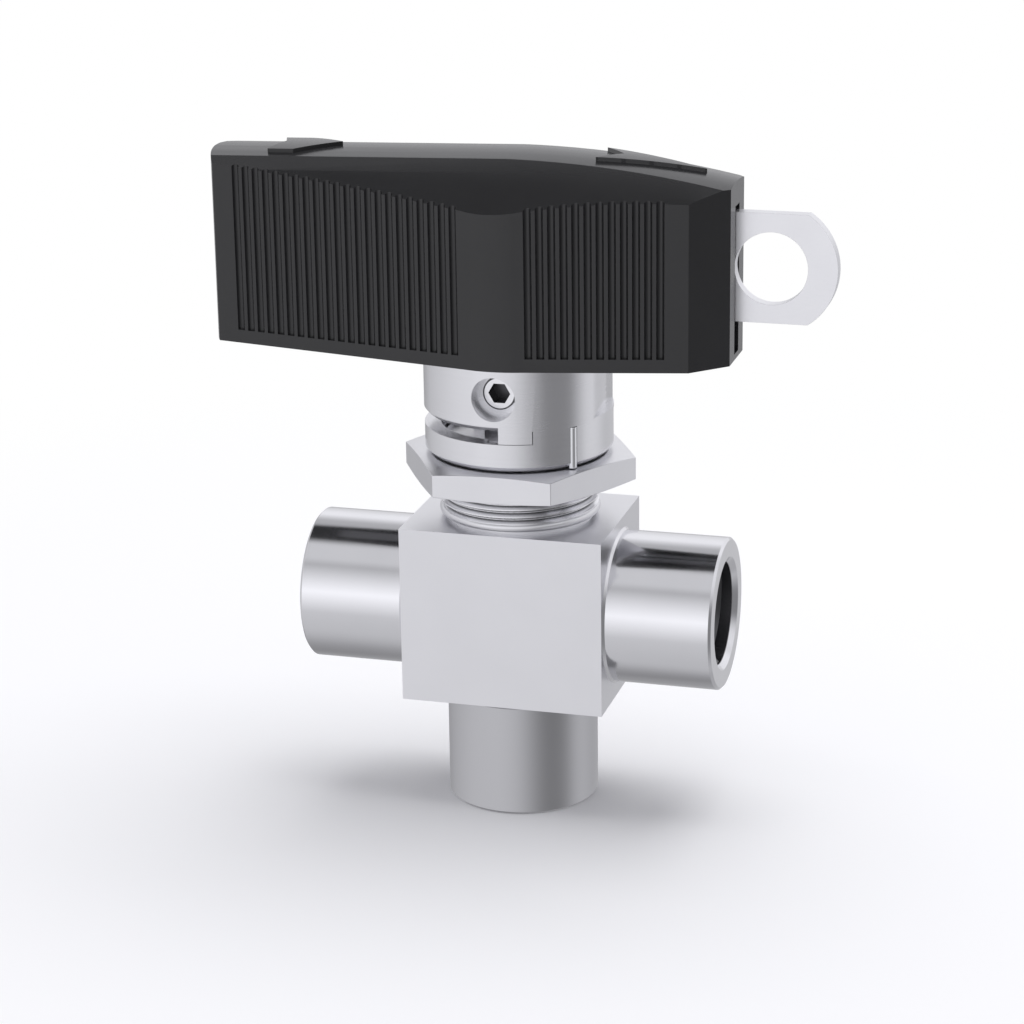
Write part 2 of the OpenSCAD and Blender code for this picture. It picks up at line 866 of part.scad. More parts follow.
module grip_flutes() {
    for (flip = [0, 1])
        mirror([0, flip, 0]) {
            flute_row(long_corner, long_touch,
                      flute_margin - grip_long, -flute_long_from);
            flute_row(short_touch, short_corner,
                      flute_short_from, grip_corner_x - flute_margin);
        }
}

// Half width of the grip where the wall between two plan points passes a given distance
function wall_at(from, to, x) =
    -from[1] - (x - from[0]) * (to[1] - from[1]) / (to[0] - from[0]);

// Pocket moulded beside the arm, which leaves the cover's outer wall and an inner web
module core(from, to, x0, x1) {
    inset = grip_wall + flute_depth;
    web = arm_half + grip_web;
    translate([0, 0, grip_z - over])
        linear_extrude(height = core_h + over)
            polygon([[x0, wall_at(from, to, x0) - inset], [x1, wall_at(from, to, x1) - inset],
                     [x1, web], [x0, web]]);
}

module grip_cover() {
    color(dark_plastic)
    difference() {
        grip_form();
        translate([-arm_long - seat_fit, -arm_half - seat_fit, grip_z - over])
            cube([arm_long + arm_short + 2 * seat_fit, 2 * (arm_half + seat_fit),
                  arm_top - grip_z + over + seat_fit]);
        translate([0, 0, grip_z - over])
            cylinder(r = hub_r + hub_cap_gap, h = hub_top - grip_z + over + seat_fit);
        translate([0, 0, grip_z - over])
            cylinder(r = arm_boss_r + seat_fit, h = arm_boss_top - grip_z + over + seat_fit);
        translate([arm_short - over, -slot_half - end_slot_gap, grip_z + end_slot_floor])
            cube([grip_wall + 2 * over, 2 * (slot_half + end_slot_gap), latch_high - grip_z]);
        for (flip = [0, 1])
            mirror([0, flip, 0]) {
                core(long_corner, long_touch, -core_split[0], -core_ends[0]);
                core(long_corner, long_touch, -core_long_end, -core_split[1]);
                core(short_touch, short_corner, core_ends[0], core_ends[1]);
            }
        grip_flutes();
    }
}

module latch_guide_pin() {
    color(steel)
    translate([slot_back - guide_pin_in + seat_fit, 0, spring_z])
        along_x()
            cylinder(r = guide_pin_r, h = guide_pin_in + guide_pin_out);
}

module latch_stop_pin() {
    color(steel)
    translate([stop_pin_x, arm_half, stop_pin_z])
        rotate([90, 0, 0])
            cylinder(r = stop_pin_r, h = 2 * arm_half);
}

// One point on the return spring's centre line
function coil_point(t, r, length, turns) =
    [length * t, r * cos(360 * turns * t), r * sin(360 * turns * t)];

// Return spring, swept as a ring of points along its helix
module latch_spring() {
    sides = 6;
    steps_per_turn = 12;
    steps = steps_per_turn * spring_turns;
    wire_r = spring_wire / 2;
    r = spring_r - wire_r;
    length = shoulder_x - slot_back - spring_wire - 4 * seat_fit;
    points = [
        for (i = [0 : steps])
            let (c = coil_point(i / steps, r, length, spring_turns))
            let (a = 360 * spring_turns * i / steps)
            for (k = [0 : sides - 1])
                let (b = 360 * k / sides)
                [c[0] + wire_r * sin(b),
                 c[1] + wire_r * cos(b) * cos(a),
                 c[2] + wire_r * cos(b) * sin(a)]
    ];
    side_faces = [
        for (i = [0 : steps - 1])
            for (k = [0 : sides - 1])
                let (n = (k + 1) % sides)
                [i * sides + k, i * sides + n, (i + 1) * sides + n, (i + 1) * sides + k]
    ];
    start_face = [[for (k = [sides - 1 : -1 : 0]) k]];
    end_face = [[for (k = [0 : sides - 1]) steps * sides + k]];
    color(steel)
    translate([slot_back + wire_r + 2 * seat_fit, 0, spring_z])
        polyhedron(points = points, faces = concat(side_faces, start_face, end_face));
}

// Outline of the latch plate, looking along the plate's normal
module latch_outline() {
    difference() {
        union() {
            intersection() {
                translate([latch_hole_x, latch_z])
                    circle(r = latch_end_r);
                translate([latch_hole_x - latch_end_r, latch_low])
                    square([2 * latch_end_r, latch_w]);
            }
            translate([shoulder_x, latch_low])
                square([latch_hole_x - shoulder_x, latch_w]);
            translate([shoulder_x - nib_l, spring_z - nib_h / 2])
                square([nib_l + eps, nib_h]);
            translate([leg_back, latch_low])
                square([shoulder_x + eps - leg_back, band_top - latch_low]);
            translate([leg_back, hub_z + free_gap])
                square([leg_x - leg_back, band_top - hub_z - free_gap]);
            translate([nose_back, nose_z])
                square([nose_x - nose_back, hub_z + over - nose_z]);
        }
        translate([latch_hole_x, latch_z])
            circle(d = latch_hole_d);
        for (x = [stop_pin_x, stop_pin_x + latch_travel + latch_gap])
            translate([x, stop_pin_z])
                circle(r = stop_pin_r + seat_fit);
        translate([stop_pin_x, stop_pin_z - stop_pin_r - seat_fit])
            square([latch_travel + latch_gap, 2 * (stop_pin_r + seat_fit)]);
    }
}

module latch_plate() {
    color(steel)
    translate([0, latch_half, 0])
        rotate([90, 0, 0])
            linear_extrude(height = latch_t)
                latch_outline();
}

valve_body();
panel_nut();
stop_ring();
ring_dowel();
lower_packing();
upper_packing();
left_side_disc();
right_side_disc();
left_side_ring();
right_side_ring();
packing_gland();
gland_springs();
ground_spring();
stem_bearing();
packing_bolt();
ball_stem();
handle_hub();
hub_set_screws();
grip_cover();
latch_guide_pin();
latch_stop_pin();
latch_spring();
latch_plate();
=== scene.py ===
import bpy
import bmesh
import json
from math import pi, radians, sqrt, tan
from mathutils import Matrix, Vector

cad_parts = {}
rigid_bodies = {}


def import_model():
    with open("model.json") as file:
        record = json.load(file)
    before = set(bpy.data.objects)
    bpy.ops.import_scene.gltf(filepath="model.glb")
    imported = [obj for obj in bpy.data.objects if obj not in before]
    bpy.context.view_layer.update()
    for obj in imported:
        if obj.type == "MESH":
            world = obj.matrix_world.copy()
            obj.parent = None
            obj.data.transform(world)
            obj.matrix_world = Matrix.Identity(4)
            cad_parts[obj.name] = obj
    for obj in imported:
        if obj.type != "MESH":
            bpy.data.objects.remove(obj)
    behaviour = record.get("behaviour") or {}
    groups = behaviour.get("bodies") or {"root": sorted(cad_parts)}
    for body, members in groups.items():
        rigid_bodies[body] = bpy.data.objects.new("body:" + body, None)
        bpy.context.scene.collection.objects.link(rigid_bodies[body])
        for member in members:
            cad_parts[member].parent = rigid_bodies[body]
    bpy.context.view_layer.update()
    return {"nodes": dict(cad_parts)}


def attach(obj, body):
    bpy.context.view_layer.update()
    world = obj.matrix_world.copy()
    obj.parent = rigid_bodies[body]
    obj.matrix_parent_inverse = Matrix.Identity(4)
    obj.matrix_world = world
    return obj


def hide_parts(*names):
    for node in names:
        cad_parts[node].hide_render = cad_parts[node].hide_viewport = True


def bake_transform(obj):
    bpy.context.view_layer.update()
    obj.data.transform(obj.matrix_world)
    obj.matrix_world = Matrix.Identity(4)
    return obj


for left_over in list(bpy.data.objects):
    bpy.data.objects.remove(left_over)
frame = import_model()
MM = 0.001


# Valve body.
# Square block with two side ports, a bottom port and a threaded neck, machined from
# stainless bar. The block's faces are milled and lightly blasted, and the ports are turned.

class Socket:
    """A shader socket that can stand in a sum."""

    def __init__(self, finish, socket):
        self.finish = finish
        self.socket = socket

    def math(self, operation, *others):
        inputs = {i: value for i, value in enumerate((self,) + others)}
        return self.finish.node("ShaderNodeMath", {"operation": operation}, inputs)

    def __add__(self, other):
        return self.math("ADD", other)

    def __mul__(self, other):
        return self.math("MULTIPLY", other)

    def __sub__(self, other):
        return self.math("SUBTRACT", other)

    def __rsub__(self, other):
        return self.math("MULTIPLY", -1.0).math("ADD", other)

    __radd__ = __add__
    __rmul__ = __mul__


class Finish:
    """A material whose nodes are made and joined from Python expressions."""

    def __init__(self, name, **constants):
        self.material = bpy.data.materials.new(name)
        self.material.use_nodes = True
        self.tree = self.material.node_tree
        self.shader = self.tree.nodes["Principled BSDF"]
        for key, value in constants.items():
            self.shader.inputs[key.replace("_", " ")].default_value = value

    def node(self, kind, settings=None, inputs=None, output=0):
        made = self.tree.nodes.new(kind)
        for key, value in (settings or {}).items():
            if key == "stops":
                elements = made.color_ramp.elements
                while len(elements) < len(value):
                    elements.new(1.0)
                for element, (place, colour) in zip(elements, value):
                    element.position = place
                    element.color = (*colour, 1.0)
            else:
                setattr(made, key, value)
        for key, value in (inputs or {}).items():
            if isinstance(value, Socket):
                self.tree.links.new(value.socket, made.inputs[key])
            else:
                made.inputs[key].default_value = value
        return Socket(self, made.outputs[output])

    def place(self, stretch=(1.0, 1.0, 1.0)):
        """Position on the piece, stretched so that a pattern runs along one way."""
        here = self.node("ShaderNodeTexCoord", output="Object")
        return self.node("ShaderNodeVectorMath", {"operation": "MULTIPLY"}, {0: here, 1: stretch})

    def noise(self, scale, detail=2.0, stretch=(1.0, 1.0, 1.0)):
        return self.node("ShaderNodeTexNoise", None,
                         {"Vector": self.place(stretch), "Scale": scale, "Detail": detail})

    def axis(self, index):
        here = self.node("ShaderNodeTexCoord", output="Object")
        return self.node("ShaderNodeSeparateXYZ", None, {0: here}, output=index)

    def step(self, value, low, high):
        """0 below low, 1 above high."""
        return self.node("ShaderNodeMapRange", {"interpolation_type": "SMOOTHSTEP"},
                         {"Value": value, "From Min": low, "From Max": high})

    def blend(self, factor, first, second):
        return self.node("ShaderNodeMix", {"data_type": "RGBA"},
                         {"Factor": factor, 6: first, 7: second}, output=2)

    def feed(self, **links):
        for key, value in links.items():
            self.tree.links.new(value.socket, self.shader.inputs[key.replace("_", " ")])

    def bump(self, height, distance, strength=1.0):
        relief = self.node("ShaderNodeBump", None,
                           {"Height": height, "Distance": distance, "Strength": strength})
        self.feed(Normal=relief)


def radius_at(one, other):
    """Distance from an axis, from two distances across it."""
    return (one * one + other * other).math("SQRT")


BLOCK_END = 12.5 * MM
BLOCK_UNDER = 14.1 * MM
PORT_Z = 25 * MM
BORE_DARK_R = 6.2 * MM
BORE_LIGHT_R = 6.35 * MM
EDGE_BLUR = 0.02 * MM

body_steel = Finish("machined_body", Metallic=1.0)
along = body_steel.axis("X").math("ABSOLUTE")
across = body_steel.axis("Y")
up = body_steel.axis("Z")
side_port = body_steel.step(along, BLOCK_END, BLOCK_END + EDGE_BLUR)
low_port = body_steel.step(1.0 - up, 1.0 - BLOCK_UNDER, 1.0 - BLOCK_UNDER + EDGE_BLUR)
turned = (side_port + low_port).math("MINIMUM", 1.0)
lathe_x = body_steel.noise(900.0, 3.0, (6.0, 0.02, 0.02))
lathe_z = body_steel.noise(900.0, 3.0, (0.02, 0.02, 6.0))
milled = body_steel.noise(5200.0, 4.0)
lathe = side_port * lathe_x + (1.0 - side_port) * lathe_z
cloud = body_steel.noise(140.0, 3.0)
side_radius = radius_at(across, up - PORT_Z)
low_radius = radius_at(across, along)
# Painted shade: inside the side and bottom bores the base colour goes near black (0.16), for the
# shade deep in the ports.
side_bore = (1.0 - body_steel.step(side_radius, BORE_DARK_R, BORE_LIGHT_R)) * side_port
low_bore = (1.0 - body_steel.step(low_radius, BORE_DARK_R, BORE_LIGHT_R)) * low_port
shade = (side_bore + low_bore).math("MINIMUM", 1.0)
clean_steel = body_steel.blend(cloud, (0.765, 0.765, 0.79, 1), (0.82, 0.82, 0.845, 1))
# Painted shade: the bottom port's base colour is darkened, for the floor's shadow that it would
# mirror.
low_port_painted_shade = body_steel.blend(0.8 * low_port, clean_steel, (0.53, 0.53, 0.547, 1))
body_steel.feed(
    Roughness=(turned * (0.08 + 0.07 * lathe) + (1.0 - turned) * (0.27 + 0.09 * milled)
               + 0.04 * cloud + 0.15 * shade + 0.26 * low_port),
    Base_Color=body_steel.blend(shade, low_port_painted_shade, (0.16, 0.16, 0.17, 1)))
body_steel.bump(turned * lathe * (0.4 - 0.3 * low_port) + (1.0 - turned) * milled, 0.003 * MM, 0.4)

NARROW = 0.6
NARROW_SHARE = 0.3
SOFT_TURN = radians(30)


def break_edges(piece, edge, angle, upright, parts, closed_at=None, shortest=0):
    """Bevels the sharp edges. Upright edges of narrow faces have an angle of their own, which
    spares the facets of round flutes. Edges at the closed_at height or below shortest stay
    sharp."""
    mesh = piece.data
    work = bmesh.new()
    work.from_mesh(mesh)
    weight = work.edges.layers.float.new("bevel_weight_edge")
    for line in work.edges:
        if len(line.link_faces) != 2:
            continue
        run = line.verts[1].co - line.verts[0].co
        narrow = abs(run.z) > 0.98 * run.length and min(
            face.calc_area() for face in line.link_faces) < NARROW * MM * run.length
        turn = line.calc_face_angle(0)
        left = run.length < shortest * MM or closed_at is not None and all(
            abs(v.co.z / MM - closed_at) < 0.1 for v in line.verts)
        cut = turn > radians(upright if narrow else angle) and not left
        line[weight] = (NARROW_SHARE if narrow else 1.0) if cut else 0.0
        line.smooth = cut or turn < SOFT_TURN
    work.to_mesh(mesh)
    work.free()
    bevel = piece.modifiers.new("edge_break", "BEVEL")
    bevel.width = edge * MM
    bevel.segments = parts
    bevel.limit_method = "WEIGHT"
    bevel.harden_normals = True
    bevel.use_clamp_overlap = True


def placed(name, data):
    """New object in the scene."""
    piece = bpy.data.objects.new(name, data)
    bpy.context.scene.collection.objects.link(piece)
    return piece


def copied(node, name, finish, closed_at=None, drop=0):
    """Copy of a CAD node, merged and freed of its triangles, which stands in for it. Its
    under edge at the closed_at height is lowered by drop, which shuts a seam."""
    mesh = frame["nodes"][node].data.copy()
    mesh.name = name
    piece = placed(name, mesh)
    if "custom_normal" in mesh.attributes:
        mesh.attributes.remove(mesh.attributes["custom_normal"])
    work = bmesh.new()
    work.from_mesh(mesh)
    bmesh.ops.remove_doubles(work, verts=work.verts, dist=0.0005 * MM)
    bmesh.ops.dissolve_limit(work, angle_limit=radians(0.3), verts=work.verts, edges=work.edges)
    if drop:
        low = [v for v in work.verts if abs(v.co.z / MM - closed_at) < 0.002
               and v.co.xy.length > 8 * MM]
        bmesh.ops.translate(work, vec=(0, 0, -drop * MM), verts=low)
    for face in work.faces:
        face.smooth = True
    work.to_mesh(mesh)
    work.free()
    mesh.materials.clear()
    mesh.materials.append(finish.material)
    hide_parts(node)
    return piece


def broken(node, name, finish, body, edge, angle=30, upright=None, parts=2, closed_at=None,
           drop=0, shortest=0):
    """Copy of a CAD node with its sharp edges broken, riding on a body."""
    piece = copied(node, name, finish, closed_at, drop)
    break_edges(piece, edge, angle, upright or angle, parts, closed_at, shortest)
    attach(piece, body)


broken("valve_body", "body_block", body_steel, "body", 0.08)


def thread_ridge(name, flank, crest, foot_r, crest_r, pitch, crest_w, turns, start, place):
    """Thread cut as one helical ridge, closed at both ends, along a placed axis. Its flanks and
    its crest have a material each, so that the flanks can carry painted shade."""
    work = bmesh.new()
    foot_w = 0.98 * pitch
    outline = [(foot_r, -foot_w / 2), (crest_r, -crest_w / 2), (crest_r, crest_w / 2),
               (foot_r, foot_w / 2)]
    corners = [work.verts.new((r, 0, z + start)) for r, z in outline]
    edges = [work.edges.new((corners[i], corners[(i + 1) % 4])) for i in range(4)]
    steps = 64
    bmesh.ops.spin(work, geom=corners + edges, cent=(0, 0, 0), axis=(0, 0, 1),
                   dvec=(0, 0, pitch / steps), angle=2 * pi * turns,
                   steps=int(steps * turns), use_merge=False)
    bmesh.ops.holes_fill(work, edges=[e for e in work.edges if e.is_boundary], sides=4)
    bmesh.ops.recalc_face_normals(work, faces=work.faces)
    for face in work.faces:
        face.material_index = int(all(abs(v.co.xy.length - crest_r) < 0.01 for v in face.verts))
        face.smooth = True
    bmesh.ops.scale(work, vec=(MM, MM, MM), verts=work.verts)
    bmesh.ops.transform(work, matrix=place, verts=work.verts)
    mesh = bpy.data.meshes.new(name)
    work.to_mesh(mesh)
    work.free()
    mesh.set_sharp_from_angle(angle=radians(35))
    mesh.materials.append(flank.material)
    mesh.materials.append(crest.material)
    piece = placed(name, mesh)
    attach(piece, "body")


thread_steel = Finish("cut_thread", Metallic=1.0)
thread_steel.feed(Roughness=0.14 + 0.12 * thread_steel.noise(1500.0, 3.0),
                  Base_Color=thread_steel.blend(thread_steel.noise(200.0), (0.745, 0.745, 0.77, 1),
                                                (0.82, 0.82, 0.845, 1)))
# Painted shade: the port threads' flanks get a near black base colour, for the shade deep in the
# bores; the crests keep the steel's colour.
flank_painted_shade = Finish("thread_flank_painted_shade", Metallic=1.0)
flank_painted_shade.feed(Roughness=0.30 + 0.12 * flank_painted_shade.noise(1500.0, 3.0),
                Base_Color=flank_painted_shade.blend(flank_painted_shade.noise(200.0), (0.09, 0.09, 0.095, 1),
                                            (0.14, 0.14, 0.145, 1)))

PIPE_FOOT_R = 6.3
PIPE_CREST_R = 5.72
PIPE_PITCH = 1.411
PIPE_CREST_W = 0.2
PIPE_TURNS = 7
ports_middle = Matrix.Translation((0, 0, PORT_Z))
for name, way, start in (("right_port_thread", Matrix.Rotation(pi / 2, 4, "Y"), 14.2),
                         ("left_port_thread", Matrix.Rotation(-pi / 2, 4, "Y"), 14.2),
                         ("bottom_port_thread", Matrix.Rotation(pi, 4, "X"), 13.6)):
    thread_ridge(name, flank_painted_shade, thread_steel, PIPE_FOOT_R, PIPE_CREST_R, PIPE_PITCH,
                 PIPE_CREST_W, PIPE_TURNS, start, ports_middle @ way)

NECK_FOOT_R = 9.0
NECK_CREST_R = 9.6
NECK_PITCH = 0.9
NECK_CREST_W = 0.16
NECK_TURNS = 8
NECK_START = 36.75
neck_steel = Finish("neck_thread", Metallic=1.0)
neck_radius = radius_at(neck_steel.axis("X"), neck_steel.axis("Y"))
# Painted shade: the base colour is dark (0.30) at the thread's roots and bright at its crests, for
# the shade between the turns.
neck_crest = neck_steel.step(neck_radius, (NECK_FOOT_R + 0.05) * MM, (NECK_CREST_R - 0.15) * MM)
neck_steel.feed(Roughness=0.13 + 0.12 * neck_steel.noise(1500.0, 3.0),
                Base_Color=neck_steel.blend(neck_crest, (0.30, 0.30, 0.31, 1),
                                            (0.86, 0.86, 0.885, 1)))
thread_ridge("neck_thread", neck_steel, neck_steel, NECK_FOOT_R, NECK_CREST_R, NECK_PITCH,
             NECK_CREST_W, NECK_TURNS, NECK_START, Matrix())


# Panel nut.
# Thin hexagon nut, turned and milled from stainless bar, chamfered on both faces. It runs
# on the neck's thread and clamps a panel against the block.

nut_steel = Finish("milled_nut", Metallic=1.0)
nut_grain = nut_steel.noise(4800.0, 4.0)
nut_steel.feed(Roughness=0.25 + 0.09 * nut_grain + 0.04 * nut_steel.noise(150.0),
               Base_Color=nut_steel.blend(nut_steel.noise(160.0, 3.0), (0.77, 0.77, 0.795, 1),
                                          (0.835, 0.835, 0.86, 1)))
nut_steel.bump(nut_grain, 0.003 * MM, 0.5)
broken("panel_nut", "hexagon_nut", nut_steel, "body", 0.07)


# Stop ring and dowel.
# Turned stainless ring, clamped on top of the neck. Half of its rim stands higher and stops
# the hub's lug, and a ground dowel in its side keeps it from turning.

STOP_TOP = 49.43
ring_steel = Finish("turned_ring", Metallic=1.0)
ring_marks = ring_steel.noise(2200.0, 2.0, (0.02, 0.02, 3.0))
ring_steel.feed(Roughness=0.20 + 0.05 * ring_marks + 0.05 * ring_steel.noise(150.0),
                Base_Color=ring_steel.blend(ring_marks, (0.77, 0.77, 0.795, 1),
                                            (0.81, 0.81, 0.835, 1)))
ring_steel.bump(ring_marks, 0.0004 * MM, 0.5)
broken("stop_ring", "raised_stop_ring", ring_steel, "body", 0.05, closed_at=STOP_TOP)

dowel_steel = Finish("ground_dowel", Metallic=1.0)
dowel_steel.feed(Roughness=0.08 + 0.10 * dowel_steel.noise(2500.0, 2.0, (1.0, 1.0, 0.1)),
                 Base_Color=dowel_steel.blend(dowel_steel.noise(600.0), (0.82, 0.82, 0.845, 1),
                                              (0.90, 0.91, 0.93, 1)))
broken("ring_dowel", "side_dowel", dowel_steel, "body", 0.12, parts=3)


# Packing and what loads it.
# White fluoropolymer packing round the ball, with steel rings, discs, gland and coned
# springs, the hollow packing bolt and its tan bearing. They fill the body's chamber and neck.

packing_white = Finish("packing_white")
packing_white.feed(Base_Color=packing_white.blend(packing_white.noise(400.0, 3.0),
                                                  (0.80, 0.80, 0.77, 1), (0.88, 0.88, 0.86, 1)),
                   Roughness=0.34 + 0.16 * packing_white.noise(1500.0, 3.0))
packing_white.bump(packing_white.noise(2400.0, 3.0), 0.004 * MM, 0.4)

bearing_tan = Finish("bearing_tan")
bearing_tan.feed(Base_Color=bearing_tan.blend(bearing_tan.noise(900.0, 3.0),
                                              (0.50, 0.38, 0.22, 1), (0.60, 0.48, 0.30, 1)),
                 Roughness=0.42 + 0.16 * bearing_tan.noise(1500.0, 3.0))

wire_steel = Finish("drawn_wire", Metallic=1.0)
wire_steel.feed(Roughness=0.22 + 0.14 * wire_steel.noise(2600.0, 3.0),
                Base_Color=wire_steel.blend(wire_steel.noise(500.0), (0.50, 0.50, 0.51, 1),
                                            (0.64, 0.64, 0.65, 1)))


def dressed(finish, *nodes):
    """Gives CAD nodes that keep their own mesh a finish."""
    for node in nodes:
        for slot in frame["nodes"][node].material_slots:
            slot.material = finish.material


dressed(packing_white, "lower_packing", "upper_packing")
dressed(bearing_tan, "stem_bearing")
dressed(wire_steel, "gland_springs", "ground_spring")
dressed(ring_steel, "left_side_disc", "right_side_disc", "left_side_ring", "right_side_ring",
        "packing_gland", "packing_bolt")


# Ball and stem.
# One piece of stainless steel: the ball is lapped bright, with an L-shaped passage, and the
# stem is ground, with two flats at the top for the hub's screws.

ball_steel = Finish("lapped_ball", Metallic=1.0)
ball_steel.feed(Roughness=0.05 + 0.08 * ball_steel.noise(1800.0, 3.0),
                Base_Color=ball_steel.blend(ball_steel.noise(300.0), (0.76, 0.76, 0.77, 1),
                                            (0.84, 0.84, 0.85, 1)))
dressed(ball_steel, "ball_stem")


# Hub and its set screws.
# Investment-cast and turned stainless hub with a stop lug below, a flat on the tab's side
# and an arm inside the grip. Two socket set screws bear on the stem's flats.

HUB_UNDER = 49.51
SEAM_DROP = 0.065
ARM_UNDER = 57.1
hub_steel = Finish("turned_hub", Metallic=1.0)
hub_marks = hub_steel.noise(2200.0, 2.0, (0.02, 0.02, 3.0))
# Painted shade: above ARM_UNDER the arm inside the grip gets a near black base colour, for the
# shade under the grip; it is rougher there too.
arm_shade_mask = hub_steel.step(hub_steel.axis("Z"), ARM_UNDER * MM, (ARM_UNDER + 0.2) * MM)
hub_turned = hub_steel.blend(hub_marks, (0.77, 0.77, 0.795, 1), (0.81, 0.81, 0.835, 1))
hub_steel.feed(Roughness=(0.21 + 0.05 * hub_marks + 0.05 * hub_steel.noise(150.0)
                          + 0.25 * arm_shade_mask),
               Base_Color=hub_steel.blend(arm_shade_mask, hub_turned, (0.13, 0.13, 0.135, 1)))
hub_steel.bump(hub_marks, 0.0004 * MM, 0.5)
broken("handle_hub", "lever_hub", hub_steel, "handle", 0.06, closed_at=HUB_UNDER,
       drop=SEAM_DROP)

SCREW_Z = 53.26
SCREW_END = 8.43
SOCKET_R = 1.36
SCREW_RIM_R = 1.78
screw_steel = Finish("socket_screw", Metallic=1.0)
screw_deep = screw_steel.axis("Y").math("ABSOLUTE")
screw_radius = radius_at(screw_steel.axis("X"), screw_steel.axis("Z") - SCREW_Z * MM)
# Painted shade: the base colour goes near black inside the hex socket and on the screw beyond its
# bright ring, down in the hub's counterbore.
below_end = 1.0 - screw_steel.step(screw_deep, (SCREW_END - 0.25) * MM, (SCREW_END - 0.02) * MM)
near_axis = 1.0 - screw_steel.step(screw_radius, SOCKET_R * MM, (SOCKET_R + 0.06) * MM)
in_socket = below_end * near_axis
screw_bright = screw_steel.blend(screw_steel.noise(500.0), (0.80, 0.80, 0.825, 1),
                                 (0.88, 0.88, 0.905, 1))
screw_rim = screw_steel.step(screw_radius, SCREW_RIM_R * MM, (SCREW_RIM_R + 0.08) * MM)
screw_painted_shade = (in_socket + screw_rim).math("MINIMUM", 1.0)
screw_steel.feed(Roughness=0.14 + 0.10 * screw_steel.noise(2200.0, 3.0) + 0.12 * in_socket,
                 Base_Color=screw_steel.blend(screw_painted_shade, screw_bright, (0.09, 0.09, 0.095, 1)))
broken("hub_set_screws", "socket_set_screws", screw_steel, "handle", 0.12, parts=3)


# Grip.
# Moulded black plastic cover, pressed over the hub's arm. Both sides are fluted for the
# fingers, and two raised arrows on top show which way the passage points.

grip_black = Finish("moulded_black", IOR=1.5)
grip_grain = grip_black.noise(3000.0, 5.0)
grip_black.feed(Base_Color=grip_black.blend(grip_black.noise(120.0, 3.0),
                                            (0.018, 0.018, 0.0192, 1), (0.024, 0.024, 0.0255, 1)),
                Roughness=0.19 + 0.07 * grip_grain)
grip_black.bump(grip_grain, 0.0015 * MM, 0.3)
broken("grip_cover", "fluted_grip", grip_black, "handle", 0.14, angle=13, upright=38,
       shortest=0.5)

CREST = 80.81
CREST_FALL = radians(1.7)
CREST_R = 131.0
CROWN_R = 20.0
ARROW_HIGH = 0.5
ARROW_DEEP = 0.7


def crown(x, y):
    """Height of the grip's top, in millimetres."""
    if x < 0:
        crest = CREST + x * tan(CREST_FALL)
    else:
        crest = CREST - CREST_R + sqrt(CREST_R ** 2 - x * x)
    return crest - CROWN_R + sqrt(CROWN_R ** 2 - y * y)


def raised_arrow(name, back, front, half_width, cuts):
    """Arrow that follows the crown: half of it cut from a grid, then mirrored."""
    work = bmesh.new()
    bmesh.ops.create_grid(work, x_segments=44, y_segments=12, size=0.5)
    bmesh.ops.scale(work, vec=(front - back, half_width, 1), verts=work.verts)
    bmesh.ops.translate(work, vec=((front + back) / 2, half_width / 2, 0), verts=work.verts)
    for point, normal in cuts:
        bmesh.ops.bisect_plane(work, geom=work.verts[:] + work.edges[:] + work.faces[:],
                               plane_co=(*point, 0), plane_no=(*normal, 0), clear_outer=True)
    bmesh.ops.mirror(work, geom=work.verts[:] + work.edges[:] + work.faces[:],
                     matrix=Matrix(), merge_dist=0.001, axis="Y")
    for vert in work.verts:
        vert.co.z = crown(vert.co.x, vert.co.y) + ARROW_HIGH
    foot = bmesh.ops.extrude_face_region(work, geom=work.faces[:])
    bmesh.ops.translate(work, vec=(0, 0, -ARROW_DEEP),
                        verts=[v for v in foot["geom"] if isinstance(v, bmesh.types.BMVert)])
    bmesh.ops.recalc_face_normals(work, faces=work.faces)
    bmesh.ops.scale(work, vec=(MM, MM, MM), verts=work.verts)
    for face in work.faces:
        face.smooth = True
    mesh = bpy.data.meshes.new(name)
    work.to_mesh(mesh)
    work.free()
    mesh.materials.append(grip_black.material)
    piece = placed(name, mesh)
    break_edges(piece, 0.04, 40, 30, 2)
    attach(piece, "handle")


raised_arrow("long_end_arrow", -29.6, -21.3, 3.4,
             [((-26.4, 3.4), (3.4, 5.1)), ((-29.6, 3.4), (-3.4, -1.2))])
raised_arrow("short_end_arrow", 10.4, 22.9, 2.85,
             [((10.4, 2.85), (2.85, 12.5)), ((10.4, 2.85), (-2.85, -2.7))])


# Latch.
# Stamped stainless plate that slides in the arm. Its tab takes a padlock, and a coil spring
# on a pin pushes it out against a cross pin.

plate_steel = Finish("tumbled_plate", Metallic=1.0)
plate_grain = plate_steel.noise(2600.0, 4.0)
plate_steel.feed(Roughness=0.30 + 0.10 * plate_grain,
                 Base_Color=plate_steel.blend(plate_steel.noise(220.0, 3.0),
                                              (0.835, 0.835, 0.86, 1), (0.895, 0.895, 0.92, 1)))
plate_steel.bump(plate_grain, 0.004 * MM, 0.5)
broken("latch_plate", "padlock_tab", plate_steel, "latch", 0.12, parts=3)
dressed(dowel_steel, "latch_guide_pin", "latch_stop_pin")

return_spring = copied("latch_spring", "return_spring", wire_steel)
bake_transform(return_spring)


# Studio.
# Pale floor that fades to white, a large soft lamp overhead and a weak one at the front left.
# Bright metal shows the room: pale walls, a strip lamp in front and a dark gap overhead.

